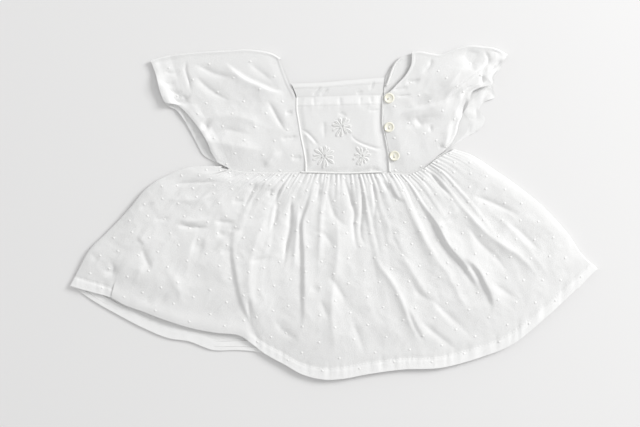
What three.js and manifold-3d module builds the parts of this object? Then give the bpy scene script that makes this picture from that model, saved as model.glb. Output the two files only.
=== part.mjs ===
// A baby's short-sleeved tunic, lying flat on its back. Millimetres, +Z up.
// +Y points from the hem to the neck, +X to the side that the buttons are on. The origin is under the
// middle of the garment, on the surface it lies on.
//
// The front and back lie on each other. Each side piece is cut in one with its sleeve and turns over
// at the shoulder. The skirt has slipped round: its back panel turns over the -X edge and comes to the
// front as far as the side seam, and its front panel turns under at the +X edge in the same way.
import * as THREE from 'three';
import { mergeVertices } from 'three/addons/utils/BufferGeometryUtils.js';
import Module from 'manifold-3d';

const wasm = await Module();
wasm.setup();

// ---- Driving dimensions ----
const CLOTH = 1.0; // wall of one layer
const TURN_RADIUS = 1.0; // to the middle of the wall, where a layer turns over an edge
const SEAM_GAP = 0.3; // between pieces sewn edge to edge
const FACET_ROOM = 0.15; // more between edges whose facets don't match
const HEM_EXTRA = 0.6; // added to the wall where a hem is turned up
const SKIRT_LENGTH = 205; // waist to hem at the middle
const SKIRT_HEM = 10;
const SIDE_PIECE_WIDTH = 110; // sleeve hem to yoke
const SLEEVE_HEM = 18;
const YOKE_SEAM_LENGTH = 77;
const PIPING_RADIUS = 1.0;
const PIPING_SIDES = 8;
const BUTTON_RADIUS = 5.1;
const BUTTON_THICKNESS = 2.2;
const BUTTON_HOLE_RADIUS = 0.75;
const BUTTON_HOLE_SPACING = 3.2;

const GATHERS = 18; // in the front skirt's waist
const GATHER_HEIGHT = 1.2;
const GATHER_REACH = 0.32; // share of the skirt's length over which the gathers die away

const FRONT_TURN_UNDER = 30; // how far the skirt's front goes round to the back face at the hem
const TURN_UNDER_AT_WAIST = 5;

// Worked out from them: the middle of each layer, and the room that piping takes in a seam.
const BACK_MIDDLE = CLOTH / 2;
const FRONT_MIDDLE = BACK_MIDDLE + 2 * TURN_RADIUS;
const FRONT_TOP = FRONT_MIDDLE + CLOTH / 2;
const EDGE_INSET = TURN_RADIUS + CLOTH / 2;
const FACETED_GAP = SEAM_GAP + FACET_ROOM;
const HALF_PIPED_SEAM = PIPING_RADIUS + FACETED_GAP;

// ---- Outlines: [x, y] of the points that a smooth curve runs through ----
const waist = [
  [-112, 46], [-98, 41], [-72, 39], [-29, 39], [11, 38], [56, 39], [74, 38], [91, 45], [104, 55],
  [120, 64],
];
const skirtEdgeLeft = [
  [-112, 46], [-131, 46], [-149, 44], [-171, 35], [-187, 24], [-204, 4], [-226, -19], [-244, -37],
  [-254, -54], [-264, -73],
];
const skirtEdgeRight = [
  [120, 64], [136, 58], [158, 44], [184, 26], [211, 4], [233, -20], [249, -42], [264, -56],
];
const sideSeam = [
  [-105, 43], [-129, 35], [-154, 22], [-174, -1], [-192, -19], [-208, -43], [-217, -65], [-222, -85],
];
const frontHem = [
  [-222, -85], [-207, -93], [-190, -99], [-172, -106], [-144, -115], [-119, -120], [-94, -123], [-82, -131],
  [-69, -141], [-49, -152], [-31, -162], [-9, -167], [11, -166], [32, -162], [68, -157], [108, -155],
  [149, -144], [178, -132], [212, -105], [236, -83], [264, -56],
];
const backHem = [
  [-264, -73], [-240, -89], [-215, -103], [-192, -115], [-165, -126], [-145, -129], [-132, -134], [-120, -138],
  [-96, -138], [-76, -140], [-49, -149], [-9, -157], [68, -152], [108, -149], [146, -139], [178, -126],
  [212, -100], [236, -78],
];
const yokeSeamLeft = [[-28, 39], [-28, 49], [-30, 62], [-33, 77], [-35, 90], [-37, 102], [-37, 115]];
const yokeSeamRight = [
  [56, 39], [55, 56], [53, 68], [51, 78], [49, 87], [49, 102], [49, 115], [49, 117],
];
const neckFront = [[-37, 115], [-4, 116], [26, 117], [49, 117]];
const neckBack = [[-42, 129], [-14, 130], [11, 132], [36, 134], [51, 135]];
const backSeamLeft = [...yokeSeamLeft, [-42, 129]];
const backSeamRight = [...yokeSeamRight.slice(0, -1), [51, 135]];

// The two side pieces with their sleeves: hems from the underarm to the shoulder, neck edges from the
// yoke to the shoulder, and the shoulder turn from the sleeve's tip to the neck.
const sidePieces = {
  left: {
    underarm: [-116, 50],
    hemFront: [
      [-116, 50], [-122, 60], [-126, 70], [-134, 83], [-145, 97], [-156, 107], [-168, 110], [-173, 120],
      [-177, 136], [-183, 152],
    ],
    hemBack: [
      [-119, 50], [-131, 57], [-137, 68], [-146, 86], [-157, 102], [-168, 108], [-173, 120], [-177, 136],
      [-183, 152],
    ],
    shoulder: [
      [-183, 152], [-169, 156], [-149, 159], [-124, 161], [-104, 162], [-91, 163], [-76, 162],
      [-62, 159], [-53, 154],
    ],
    neckFront: [[-37, 115], [-38, 118], [-42, 125], [-47, 137], [-53, 154]],
    neckBack: [[-42, 129], [-47, 141], [-53, 154]],
    folds: [
      { from: [-110, 154], to: [-44, 122], width: 9, height: 2.4 },
      { from: [-150, 146], to: [-66, 98], width: 12, height: 1.8 },
      { from: [-136, 104], to: [-60, 74], width: 11, height: 1.5 },
    ],
  },
  right: {
    underarm: [119, 71],
    hemFront: [
      [119, 71], [123, 80], [125, 89], [130, 99], [135, 110], [138, 120], [148, 125], [159, 128],
      [158, 135], [163, 142], [169, 151], [174, 158],
    ],
    hemBack: [
      [121, 70], [136, 77], [148, 85], [152, 94], [146, 102], [150, 110], [162, 116], [160, 124],
      [162, 136], [168, 146], [174, 158],
    ],
    shoulder: [
      [174, 158], [162, 164], [149, 166], [136, 167], [126, 165], [115, 161], [106, 158], [98, 159],
      [86, 161], [78, 160],
    ],
    neckFront: [[49, 117], [51, 119], [55, 121], [63, 129], [72, 139], [77, 149], [78, 160]],
    neckBack: [[51, 135], [56, 145], [63, 154], [78, 160]],
    folds: [
      { from: [80, 116], to: [150, 150], width: 11, height: 2.6 },
      { from: [74, 92], to: [118, 112], width: 9, height: 1.6 },
      { from: [86, 66], to: [122, 96], width: 8, height: 1.4 },
    ],
  },
};

// The skirt's largest folds, from the waist end to the hem end.
const skirtFolds = [
  { from: [-160, 22], to: [-110, 24], width: 8, height: 1.6 },
  { from: [-184, -12], to: [-104, -14], width: 7, height: 2.0 },
  { from: [-186, -26], to: [-176, -78], width: 10, height: 2.2 },
  { from: [-82, -16], to: [-96, -108], width: 11, height: 2.6 },
  { from: [-60, 16], to: [-62, -40], width: 7, height: 2.4 },
  { from: [-40, 12], to: [-38, -128], width: 9, height: 2.6 },
  { from: [-8, 10], to: [2, -132], width: 9, height: 2.4 },
  { from: [26, 10], to: [42, -96], width: 10, height: 2.8 },
  { from: [56, 8], to: [102, -126], width: 11, height: 3.0 },
  { from: [84, 6], to: [140, -92], width: 10, height: 3.4 },
  { from: [112, 30], to: [196, -74], width: 10, height: 3.0 },
  { from: [136, 22], to: [214, -44], width: 9, height: 2.4 },
];

// Two-hole buttons: centre, and the turn of the line through the holes.
const buttons = [
  { name: 'button_top', centre: [55.4, 114], turn: 35 },
  { name: 'button_middle', centre: [55.4, 85], turn: 88 },
  { name: 'button_bottom', centre: [60.8, 56.5], turn: 70 },
];

const cotton = new THREE.MeshStandardMaterial({ color: 0xeeeeec, roughness: 0.9, metalness: 0 });
const cord = new THREE.MeshStandardMaterial({ color: 0xf1f1ef, roughness: 0.85, metalness: 0 });
const shell = new THREE.MeshStandardMaterial({ color: 0xf0eedc, roughness: 0.3, metalness: 0 });

// ---- Curves and surfaces ----

// A smooth curve as a function of its share of length, 0 to 1.
function smooth(points) {
  const knots = points.map(([x, y]) => new THREE.Vector3(x, y, 0));
  const curve = new THREE.CatmullRomCurve3(knots, false, 'centripetal');
  curve.arcLengthDivisions = 400;
  return (t) => curve.getPointAt(Math.min(1, Math.max(0, t)));
}

// The curve moved sideways: distance is to the left of its direction, and may change along it.
function beside(curve, distance) {
  const step = 0.004;
  return (t) => {
    const along = curve(Math.min(1, t + step)).sub(curve(Math.max(0, t - step))).normalize();
    const d = typeof distance === 'function' ? distance(t) : distance;
    return curve(t).add(new THREE.Vector3(-along.y, along.x, 0).multiplyScalar(d));
  };
}

// Part of a curve, from one share of its length to another.
function stretch(curve, from, to) {
  return (t) => curve(from + (to - from) * t);
}

// The share of a curve's length at which it is nearest to a point.
function shareNear(curve, [x, y]) {
  const target = new THREE.Vector3(x, y, 0);
  const distance = (t) => curve(t).distanceTo(target);
  return shares(800).reduce((best, t) => (distance(t) < distance(best) ? t : best));
}

// The surface between four curves: u runs along near and far, v from near to far along start and end.
function between(near, far, start, end) {
  const [a, b, c, d] = [near(0), near(1), far(0), far(1)];
  return (u, v) => {
    const ruled = near(u).multiplyScalar(1 - v).add(far(u).multiplyScalar(v));
    const across = start(v).multiplyScalar(1 - u).add(end(v).multiplyScalar(u));
    const corners = a.clone().multiplyScalar((1 - u) * (1 - v))
      .add(b.clone().multiplyScalar(u * (1 - v)))
      .add(c.clone().multiplyScalar((1 - u) * v))
      .add(d.clone().multiplyScalar(u * v));
    return ruled.add(across).sub(corners);
  };
}

function shares(count) {
  return Array.from({ length: count + 1 }, (_, i) => i / count);
}

// A closed wall of cloth on a grid of middle points {p, wall}.
function clothWall(grid) {
  const columns = grid.length;
  const rows = grid[0].length;
  const within = (i, count) => Math.min(count - 1, Math.max(0, i));
  const cell = (i, j) => grid[within(i, columns)][within(j, rows)].p;
  const corners = [];
  for (const side of [1, -1]) {
    for (let i = 0; i < columns; i++) {
      for (let j = 0; j < rows; j++) {
        const acrossI = cell(i + 1, j).clone().sub(cell(i - 1, j));
        const acrossJ = cell(i, j + 1).clone().sub(cell(i, j - 1));
        const normal = acrossI.cross(acrossJ).normalize();
        corners.push(grid[i][j].p.clone().addScaledVector(normal, (side * grid[i][j].wall) / 2));
      }
    }
  }
  const face = (side, i, j) => side * columns * rows + i * rows + j;
  const index = [];
  const quad = (a, b, c, d) => index.push(a, b, c, a, c, d);
  for (let i = 0; i < columns - 1; i++) {
    for (let j = 0; j < rows - 1; j++) {
      quad(face(0, i, j), face(0, i + 1, j), face(0, i + 1, j + 1), face(0, i, j + 1));
      quad(face(1, i, j), face(1, i, j + 1), face(1, i + 1, j + 1), face(1, i + 1, j));
    }
    quad(face(0, i + 1, 0), face(0, i, 0), face(1, i, 0), face(1, i + 1, 0));
    quad(face(0, i, rows - 1), face(0, i + 1, rows - 1), face(1, i + 1, rows - 1), face(1, i, rows - 1));
  }
  for (let j = 0; j < rows - 1; j++) {
    quad(face(0, 0, j), face(0, 0, j + 1), face(1, 0, j + 1), face(1, 0, j));
    const end = columns - 1;
    quad(face(0, end, j + 1), face(0, end, j), face(1, end, j), face(1, end, j + 1));
  }
  return new THREE.BufferGeometry().setFromPoints(corners).setIndex(index);
}

// Height that the folds in a table add at a point.
function foldHeight(folds, x, y) {
  let sum = 0;
  for (const fold of folds) {
    const [dx, dy] = [fold.to[0] - fold.from[0], fold.to[1] - fold.from[1]];
    const along = ((x - fold.from[0]) * dx + (y - fold.from[1]) * dy) / (dx * dx + dy * dy);
    const s = Math.min(1, Math.max(0, along));
    const away = Math.hypot(x - fold.from[0] - s * dx, y - fold.from[1] - s * dy);
    sum += fold.height * Math.exp(-((away / fold.width) ** 2));
  }
  return sum;
}

const ease = (share) => THREE.MathUtils.smoothstep(share, 0, 1);

const frontPoint = (flat, lift, wall) => ({
  p: new THREE.Vector3(flat.x, flat.y, FRONT_MIDDLE + (wall - CLOTH) / 2 + lift),
  wall,
});
const backPoint = (flat, wall) => ({ p: new THREE.Vector3(flat.x, flat.y, wall / 2), wall });

// The half turn between a front point and a back point, seen along the edge; outward points away.
function turn(front, back, outward, steps) {
  const points = [];
  for (let k = 1; k < steps; k++) {
    const angle = (Math.PI * k) / steps;
    const p = front.p.clone().add(back.p).multiplyScalar(0.5)
      .add(front.p.clone().sub(back.p).multiplyScalar(0.5 * Math.cos(angle)))
      .addScaledVector(outward, TURN_RADIUS * Math.sin(angle));
    points.push({ p, wall: (front.wall + back.wall) / 2 });
  }
  return points;
}

const tunic = new THREE.Group();

function add(name, geometry, material) {
  const mesh = new THREE.Mesh(geometry, material);
  mesh.name = name;
  tunic.add(mesh);
  return mesh;
}

// ---- Skirt ----
const waistline = smooth(waist);
const edgeLeft = smooth(skirtEdgeLeft);
const edgeRight = smooth(skirtEdgeRight);
const seam = smooth(sideSeam);
const hemOfFront = smooth(frontHem);
const hemOfBack = smooth(backHem);

// Rows from the waist (0) to the hem (1), closer at the gathers, with a step at the top of the hem.
const hemTop = 1 - SKIRT_HEM / SKIRT_LENGTH;
const skirtRows = [0, 0.05, 0.12, 0.22, 0.34, 0.47, 0.6, 0.72, 0.84, hemTop - 0.01, hemTop, 1];
const skirtWall = (v) => CLOTH + (v >= hemTop ? HEM_EXTRA : 0);

// Folds flatten out towards the waist, the sides and the hem.
function skirtLift(flat, u, v) {
  const sides = ease(Math.min(u, 1 - u) / 0.06);
  const ends = ease(v / 0.08) * (0.4 + 0.6 * ease((1 - v) / 0.08));
  return foldHeight(skirtFolds, flat.x, flat.y) * sides * ends;
}

function gatherLift(u, v) {
  const uneven = u * GATHERS + 0.35 * Math.sin(u * 23) + 0.2 * Math.sin(u * 61);
  return GATHER_HEIGHT * (0.5 + 0.5 * Math.cos(2 * Math.PI * uneven)) * Math.exp(-((v / GATHER_REACH) ** 2));
}

const seamShareOfWaist = shareNear(waistline, sideSeam[0]);
const turnedUnder = (v) => TURN_UNDER_AT_WAIST + (FRONT_TURN_UNDER - TURN_UNDER_AT_WAIST) * v;
const innerRight = beside(edgeRight, -EDGE_INSET);
const innerLeft = beside(edgeLeft, EDGE_INSET);
const seamUnderRight = beside(edgeRight, (v) => -turnedUnder(v));

function outwardOf(curve, t, side) {
  const along = curve(Math.min(1, t + 0.004)).sub(curve(Math.max(0, t - 0.004))).normalize();
  return new THREE.Vector3(-along.y, along.x, 0).multiplyScalar(side);
}

// Ends a curve exactly on two points, taking up the difference close to its ends.
function pinned(curve, first, last) {
  const [a, b] = [first.clone().sub(curve(0)), last.clone().sub(curve(1))];
  return (t) => curve(t).addScaledVector(a, (1 - t) ** 8).addScaledVector(b, t ** 8);
}

function skirtFront() {
  const start = beside(seam, SEAM_GAP / 2);
  const near = pinned(stretch(waistline, seamShareOfWaist, 1), start(0), innerRight(0));
  const far = pinned(hemOfFront, start(1), innerRight(1));
  const surface = between(near, far, start, innerRight);
  const columns = [];
  for (const u of shares(3 * GATHERS)) {
    columns.push(skirtRows.map((v) => {
      const flat = surface(u, v);
      const lift = skirtLift(flat, u, v) + gatherLift(u, v) * ease((1 - u) / 0.03);
      return frontPoint(flat, lift, skirtWall(v));
    }));
  }
  const last = columns[columns.length - 1];
  const under = skirtRows.map((v, j) => {
    const back = backPoint(innerRight(v), skirtWall(v));
    return turn(last[j], back, outwardOf(edgeRight, v, 1), 5).concat([back]);
  });
  for (let k = 0; k < under[0].length; k++) columns.push(under.map((row) => row[k]));
  for (const s of [0.5, 1]) {
    columns.push(skirtRows.map((v) => backPoint(innerRight(v).lerp(seamUnderRight(v), s), skirtWall(v))));
  }
  return clothWall(columns);
}

function skirtBack() {
  const start = innerLeft;
  const end = beside(seamUnderRight, -SEAM_GAP);
  const near = pinned(waistline, start(0), end(0));
  const far = pinned(hemOfBack, start(1), end(1));
  const surface = between(near, far, start, end);
  const wrapEnd = beside(seam, -SEAM_GAP / 2);
  const columns = [];
  for (const s of [0, 0.33, 0.67, 1]) {
    columns.push(skirtRows.map((v) => {
      const flat = wrapEnd(v).lerp(innerLeft(v), s);
      return frontPoint(flat, foldHeight(skirtFolds, flat.x, flat.y) * 0.3 * (1 - s), skirtWall(v));
    }));
  }
  const firstBack = skirtRows.map((v) => backPoint(surface(0, v), skirtWall(v)));
  const front = columns[columns.length - 1];
  const over = skirtRows.map((v, j) => turn(front[j], firstBack[j], outwardOf(edgeLeft, v, -1), 5));
  for (let k = 0; k < over[0].length; k++) columns.push(over.map((row) => row[k]));
  for (const u of shares(20)) {
    columns.push(skirtRows.map((v) => backPoint(surface(u, v), skirtWall(v))));
  }
  return clothWall(columns);
}

add('skirt_front', skirtFront(), cotton);
add('skirt_back', skirtBack(), cotton);

// ---- Yoke panels and piping ----
const seamLeft = smooth(yokeSeamLeft);
const seamRight = smooth(yokeSeamRight);
const yokeFootLeft = shareNear(waistline, yokeSeamLeft[0]);
const yokeFootRight = shareNear(waistline, yokeSeamRight[0]);
const yokeFoot = stretch(waistline, yokeFootLeft, yokeFootRight);
const pipedFoot = (2 * HALF_PIPED_SEAM) / YOKE_SEAM_LENGTH;
const aboveWaist = FACETED_GAP / YOKE_SEAM_LENGTH;

function panel(near, far, start, end, columns, rows, place) {
  const surface = between(near, far, start, end);
  return clothWall(shares(columns).map((u) => shares(rows).map((v) => place(surface(u, v), u, v))));
}

const yokeFolds = [
  { from: [-26, 76], to: [-12, 62], width: 4, height: 0.8 },
  { from: [20, 70], to: [46, 62], width: 4, height: 0.8 },
];

function yokeFront() {
  const start = beside(seamLeft, -HALF_PIPED_SEAM);
  const end = beside(seamRight, HALF_PIPED_SEAM);
  const foot = beside(yokeFoot, 2 * HALF_PIPED_SEAM);
  const startUp = stretch(start, pipedFoot, 1);
  const endUp = stretch(end, pipedFoot, 1);
  const near = pinned(foot, startUp(0), endUp(0));
  const far = pinned(smooth(neckFront), startUp(1), endUp(1));
  const place = (flat) => frontPoint(flat, foldHeight(yokeFolds, flat.x, flat.y), CLOTH);
  return panel(near, far, startUp, endUp, 10, 8, place);
}

function yokeBack() {
  const start = stretch(beside(smooth(backSeamLeft), -SEAM_GAP / 2), aboveWaist, 1);
  const end = stretch(beside(smooth(backSeamRight), SEAM_GAP / 2), aboveWaist, 1);
  const near = pinned(beside(yokeFoot, FACETED_GAP), start(0), end(0));
  const far = pinned(smooth(neckBack), start(1), end(1));
  return panel(near, far, start, end, 8, 14, (flat) => backPoint(flat, CLOTH));
}

function piping(curve, steps) {
  const circle = new THREE.Shape(Array.from({ length: PIPING_SIDES }, (_, i) => {
    const angle = (2 * Math.PI * i) / PIPING_SIDES;
    return new THREE.Vector2(PIPING_RADIUS * Math.cos(angle), PIPING_RADIUS * Math.sin(angle));
  }));
  const points = shares(steps).map((t) => curve(t).setZ(FRONT_TOP));
  return new THREE.ExtrudeGeometry(circle, {
    steps,
    bevelEnabled: false,
    extrudePath: new THREE.CatmullRomCurve3(points),
  });
}

add('yoke_front', yokeFront(), cotton);
add('yoke_back', yokeBack(), cotton);
add('piping_left', piping(stretch(seamLeft, pipedFoot, 0.995), 12), cord);
add('piping_right', piping(stretch(seamRight, pipedFoot, 0.995), 12), cord);
add('piping_waist', piping(beside(yokeFoot, HALF_PIPED_SEAM), 12), cord);

// ---- Side pieces with their sleeves ----
// 0 near a button, rising to 1 well away from all of them.
function flatUnderButtons(flat) {
  const away = Math.min(...buttons.map(({ centre: [x, y] }) => Math.hypot(flat.x - x, flat.y - y)));
  return ease((away - BUTTON_RADIUS - 6) / 12);
}

function sidePiece(piece, sideSign, frontSeam, backSeam, waistFrom, waistTo) {
  // Seen from above: u from the sleeve's hem to the yoke, v from the waist to the shoulder.
  const shoulder = smooth(piece.shoulder);
  const inset = beside(shoulder, -sideSign * EDGE_INSET);
  const waistEdge = beside(stretch(waistline, waistFrom, waistTo), sideSign * FACETED_GAP);
  const layer = (hem, neck, seam, gap) => {
    const centre = stretch(beside(smooth([...seam, ...neck.slice(1)]), sideSign * gap), aboveWaist, 1);
    const start = pinned(smooth(hem), new THREE.Vector3(...piece.underarm, 0), inset(0));
    const end = pinned(centre, centre(0), inset(1));
    const near = pinned(waistEdge, start(0), end(0));
    return between(near, inset, start, end);
  };
  const front = layer(piece.hemFront, piece.neckFront, frontSeam, HALF_PIPED_SEAM);
  const back = layer(piece.hemBack, piece.neckBack, backSeam, FACETED_GAP);
  const across = 12;
  const up = 11;
  const hemShare = SLEEVE_HEM / SIDE_PIECE_WIDTH;
  const wall = (u, v) => CLOTH + (u < hemShare && v > 0.2 ? HEM_EXTRA : 0);
  return clothWall(shares(across).map((u) => {
    const ends = ease(Math.min(u, 1 - u) / 0.12);
    const column = shares(up).map((v) => {
      const flat = front(u, v);
      const calm = ease(v / 0.12) * ease((1 - v) / 0.1) * ends * flatUnderButtons(flat);
      return frontPoint(flat, foldHeight(piece.folds, flat.x, flat.y) * calm, wall(u, v));
    });
    const backColumn = shares(up).reverse().map((v) => backPoint(back(u, v), wall(u, v)));
    const outward = outwardOf(shoulder, u, sideSign);
    return [...column, ...turn(column[up], backColumn[0], outward, 5), ...backColumn];
  }));
}

const sleeveLeft = sidePiece(sidePieces.left, 1, yokeSeamLeft, backSeamLeft, 0, yokeFootLeft);
const sleeveRight = sidePiece(sidePieces.right, -1, yokeSeamRight, backSeamRight, 1, yokeFootRight);
add('side_sleeve_left', sleeveLeft, cotton);
add('side_sleeve_right', sleeveRight, cotton);

// ---- Buttons ----
function solid(geometry) {
  const bare = new THREE.BufferGeometry()
    .setAttribute('position', geometry.getAttribute('position'))
    .setIndex(geometry.index);
  const merged = mergeVertices(bare, 1e-3);
  return new wasm.Manifold(new wasm.Mesh({
    numProp: 3,
    vertProperties: merged.attributes.position.array,
    triVerts: new Uint32Array(merged.index.array),
  }));
}

function geometryOf(manifold) {
  const mesh = manifold.getMesh();
  return new THREE.BufferGeometry()
    .setAttribute('position', new THREE.BufferAttribute(mesh.vertProperties, 3))
    .setIndex(new THREE.BufferAttribute(mesh.triVerts, 1));
}

// A disc with a raised rim round a shallow dish, pierced by two thread holes.
function button(turnDegrees) {
  const profile = [
    [0, 0], [0.82, 0], [1, 0.3], [1, 0.68], [0.92, 1], [0.78, 1], [0.66, 0.72], [0, 0.68],
  ].map(([r, z]) => new THREE.Vector2(r * BUTTON_RADIUS, z * BUTTON_THICKNESS));
  let disc = solid(new THREE.LatheGeometry(profile, 20).rotateX(Math.PI / 2));
  for (const side of [-1, 1]) {
    const hole = new THREE.CylinderGeometry(BUTTON_HOLE_RADIUS, BUTTON_HOLE_RADIUS, 3 * BUTTON_THICKNESS, 8)
      .rotateX(Math.PI / 2)
      .translate((side * BUTTON_HOLE_SPACING) / 2, 0, 0);
    disc = disc.subtract(solid(hole));
  }
  return geometryOf(disc).rotateZ(THREE.MathUtils.degToRad(turnDegrees));
}

for (const { name, centre, turn: turnDegrees } of buttons) {
  add(name, button(turnDegrees), shell).position.set(centre[0], centre[1], FRONT_TOP + SEAM_GAP);
}

export default tunic;
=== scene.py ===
import math
import bpy
import numpy as np
from mathutils import Matrix, Vector


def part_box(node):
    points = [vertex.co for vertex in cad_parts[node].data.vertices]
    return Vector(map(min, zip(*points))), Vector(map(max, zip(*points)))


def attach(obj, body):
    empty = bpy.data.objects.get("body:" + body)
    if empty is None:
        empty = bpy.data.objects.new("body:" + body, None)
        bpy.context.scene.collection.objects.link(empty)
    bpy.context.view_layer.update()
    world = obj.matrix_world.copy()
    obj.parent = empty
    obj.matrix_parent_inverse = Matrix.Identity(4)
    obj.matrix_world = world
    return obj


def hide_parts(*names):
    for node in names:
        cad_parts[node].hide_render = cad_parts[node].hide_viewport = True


# A baby's tunic of white dotted cotton, laid out on its back. Outlines are in millimetres: X to the
# button side, Y from the hem to the neck, Z up from the surface. The pieces follow as they are sewn.
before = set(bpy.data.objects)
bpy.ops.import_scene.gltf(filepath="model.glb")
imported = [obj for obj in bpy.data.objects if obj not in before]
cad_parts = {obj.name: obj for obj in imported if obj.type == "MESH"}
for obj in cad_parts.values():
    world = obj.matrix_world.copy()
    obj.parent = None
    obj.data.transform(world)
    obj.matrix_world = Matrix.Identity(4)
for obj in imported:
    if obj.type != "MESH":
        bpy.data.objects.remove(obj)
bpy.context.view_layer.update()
scene = bpy.context.scene
MM = 0.001


# ---- The skirt's back ----
# One panel of dotted cotton, gathered into the waist. The skirt has slipped round, so the panel
# turns over the far edge and comes to the front as far as the side seam. Its hem is turned up twice.
def smooth(points, steps=30):
    """A smooth curve through the points, as a function of its share of length, 0 to 1."""
    p = np.array(points, float)
    ends = np.vstack([2 * p[0] - p[1], p, 2 * p[-1] - p[-2]])
    traced = []
    for a, b, c, d in zip(ends, ends[1:], ends[2:], ends[3:]):
        steps_apart = [max(np.linalg.norm(n - m), 1e-6) ** 0.5 for m, n in ((a, b), (b, c), (c, d))]
        knots = np.cumsum([0] + steps_apart)
        t = np.linspace(knots[1], knots[2], steps, endpoint=False)[:, None]

        def mix(m, n, i, j):
            return (m * (knots[j] - t) + n * (t - knots[i])) / (knots[j] - knots[i])

        ab, bc, cd = mix(a, b, 0, 1), mix(b, c, 1, 2), mix(c, d, 2, 3)
        traced.append(mix(mix(ab, bc, 0, 2), mix(bc, cd, 1, 3), 1, 2))
    traced = np.vstack(traced + [p[-1:]])
    length = np.concatenate([[0], np.cumsum(np.linalg.norm(np.diff(traced, axis=0), axis=1))])

    def at(share):
        s = np.clip(share, 0, 1) * length[-1]
        return np.stack([np.interp(s, length, traced[:, 0]), np.interp(s, length, traced[:, 1])], -1)

    at.length = length[-1]
    return at


def part_of(curve, start, end):
    return lambda share: curve(start + (end - start) * np.asarray(share, float))


def beside(curve, distance):
    """The curve moved to the left of its direction."""
    def at(share):
        share = np.asarray(share, float)
        along = curve(share + 0.004) - curve(share - 0.004)
        along /= np.linalg.norm(along, axis=-1, keepdims=True)
        return curve(share) + np.stack([-along[..., 1], along[..., 0]], -1) * distance
    return at


def pinned(curve, first, last):
    """The curve, ended exactly on two points."""
    a, b = first - curve(0.0), last - curve(1.0)

    def at(share):
        t = np.asarray(share, float)[..., None]
        return curve(share) + a * (1 - t) ** 8 + b * t ** 8
    return at


def between(near, far, start, end):
    """The surface between four curves: u runs along near and far, v from near to far."""
    corner = [near(0.0), near(1.0), far(0.0), far(1.0)]

    def at(u, v):
        s, t = u[..., None], v[..., None]
        ruled = near(u) * (1 - t) + far(u) * t + start(v) * (1 - s) + end(v) * s
        return ruled - (corner[0] * (1 - s) * (1 - t) + corner[1] * s * (1 - t)
                        + corner[2] * (1 - s) * t + corner[3] * s * t)
    return at


def ease(share):
    t = np.clip(share, 0, 1)
    return t * t * (3 - 2 * t)


def unevenness(x, y, size, seed):
    """Smooth bumps between -1 and 1, about size across, the same every time for a seed."""
    grid = np.random.default_rng(seed).uniform(-1, 1, (97, 97))
    turn = 0.7 + seed
    gx = (x * math.cos(turn) - y * math.sin(turn)) / size
    gy = (x * math.sin(turn) + y * math.cos(turn)) / size
    ix, iy = np.floor(gx).astype(int), np.floor(gy).astype(int)
    fx, fy = ease(gx - ix), ease(gy - iy)

    def knot(i, j):
        return grid[(ix + i) % 97, (iy + j) % 97]
    low = knot(0, 0) * (1 - fx) + knot(1, 0) * fx
    high = knot(0, 1) * (1 - fx) + knot(1, 1) * fx
    return low * (1 - fy) + high * fy


def crumple(x, y, seed):
    """Height of the cloth's small random rumples: soft swells with finer, sharper creases on them."""
    soft = 0.6 * unevenness(x, y, 46, seed) + 0.3 * unevenness(x, y, 23, seed + 1)
    sharp = 0.7 * np.abs(unevenness(x, y, 31, seed + 2)) + 0.5 * np.abs(unevenness(x, y, 15, seed + 3))
    return soft - sharp - 0.3 * np.abs(unevenness(x, y, 8, seed + 4))


def along_route(x, y, route):
    """How far each point is from a crease's route, positive on its left, and its share of the way."""
    knots = smooth(route, 12)(np.linspace(0, 1, 22))
    nearest, side, share = np.full(x.shape, 1e9), np.ones(x.shape), np.zeros(x.shape)
    for k, (a, b) in enumerate(zip(knots, knots[1:])):
        d = b - a
        t = np.clip(((x - a[0]) * d[0] + (y - a[1]) * d[1]) / (d @ d), 0, 1)
        dx, dy = x - a[0] - t * d[0], y - a[1] - t * d[1]
        away = np.hypot(dx, dy)
        closer = away < nearest
        nearest = np.where(closer, away, nearest)
        side = np.where(closer, np.sign(d[0] * dy - d[1] * dx), side)
        share = np.where(closer, (k + t) / (len(knots) - 1), share)
    return nearest * side, share


def creases(table, x, y):
    """The height that a table of creases adds. A ridge or a trough has a narrow crest, even on both
    sides, and tapers to its ends. A lap is high on the left of its route and steps down to its right."""
    total = np.zeros(x.shape)
    for kind, height, width, route in table:
        side, share = along_route(x, y, route)
        fade = ease(share / 0.3) * ease((1 - share) / 0.4)
        if kind == "lap":
            up = 1 / (1 + np.exp(-np.clip(side / 0.7, -30, 30)))
            shape = up * np.exp(-np.maximum(side, 0) / width)
            shape -= 0.4 * (1 - up) * np.exp(np.minimum(side, 0) / (0.45 * width))
        else:
            away = np.sqrt((side / (width * (0.5 + 0.5 * fade))) ** 2 + 0.03) - 0.173
            shape = np.exp(-1.5 * away) * (1 if kind == "ridge" else -1)
        total += height * fade * shape
    return total


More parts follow.
